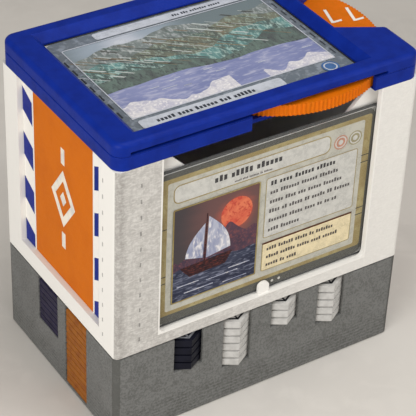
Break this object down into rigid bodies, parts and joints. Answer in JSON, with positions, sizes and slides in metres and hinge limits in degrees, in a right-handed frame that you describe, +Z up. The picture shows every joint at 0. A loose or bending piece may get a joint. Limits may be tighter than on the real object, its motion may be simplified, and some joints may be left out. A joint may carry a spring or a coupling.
{
  "type": "trading card drawer box",
  "caption": "Upright box for a deck of trading cards, with card windows, a lift-off lid with a counter dial and a sliding token drawer below.",
  "frame": {"origin": "centre of the footprint, on the surface the box stands on", "axes": "+Z up, -Y to the front with the large card window, +X to the right, where the dial stands proud"},
  "size_m": [0.1254, 0.0848, 0.1257],
  "materials": {
    "drawer_grey": "matte printed plastic, faint layer lines",
    "box_white": "matte printed plastic with a fuzzy linen-like skin",
    "lid_blue": "satin printed plastic",
    "dial_orange": "matte printed plastic",
    "panel_white": "smooth printed plastic",
    "band_orange": "smooth printed plastic",
    "stripe_blue": "smooth printed plastic",
    "motif_cream": "smooth printed plastic",
    "token_navy": "satin moulded plastic",
    "token_white": "satin moulded plastic",
    "tile_navy": "satin printed plastic",
    "tile_orange": "satin printed plastic",
    "card_print": "printed card, satin",
    "clear_film": "clear glossy film",
    "magnet": "nickel plated",
    "pin_white": "printed plastic"
  },
  "bodies": {
    "box": {"deck_box": "box_white", "floor_magnets": "magnet", "box_magnets": "magnet", "front_card": "card_print", "front_sleeve": "clear_film", "left_panel": "panel_white", "left_band": "band_orange", "left_stripes": "stripe_blue", "left_motif": "motif_cream", "right_panel": "panel_white", "right_band": "band_orange", "right_stripes": "stripe_blue", "right_motif": "motif_cream"},
    "drawer": {"token_drawer": "drawer_grey", "drawer_magnets": "magnet", "navy_tokens_front": "token_navy", "white_tokens_left": "token_white", "white_tokens_middle": "token_white", "white_tokens_right": "token_white", "navy_tiles_left": "tile_navy", "navy_tiles_right": "tile_navy", "orange_tiles_left": "tile_orange", "orange_tiles_right": "tile_orange"},
    "lid": {"lid_base": "lid_blue", "lid_cover": "lid_blue", "lid_magnets": "magnet", "dial_axle": "pin_white"},
    "dial": {"dial": "dial_orange"},
    "top_card": {"top_card": "card_print", "top_sleeve": "clear_film"}
  },
  "joints": [
    {"name": "drawer_slide", "type": "slide", "parent": "box", "child": "drawer", "axis": [0, -1, 0], "range_m": [0, 0.05]},
    {"name": "lid_lift", "type": "slide", "parent": "box", "child": "lid", "axis": [0, 0, 1], "range_m": [0, 0.03]},
    {"name": "dial_spin", "type": "hinge", "parent": "lid", "child": "dial", "pos_m": [0.0222, 0, 0.118], "axis": [0, 0, 1], "continuous": true},
    {"name": "top_card_slide", "type": "slide", "parent": "lid", "child": "top_card", "axis": [0, -1, 0], "range_m": [0, 0.06]}
  ]
}
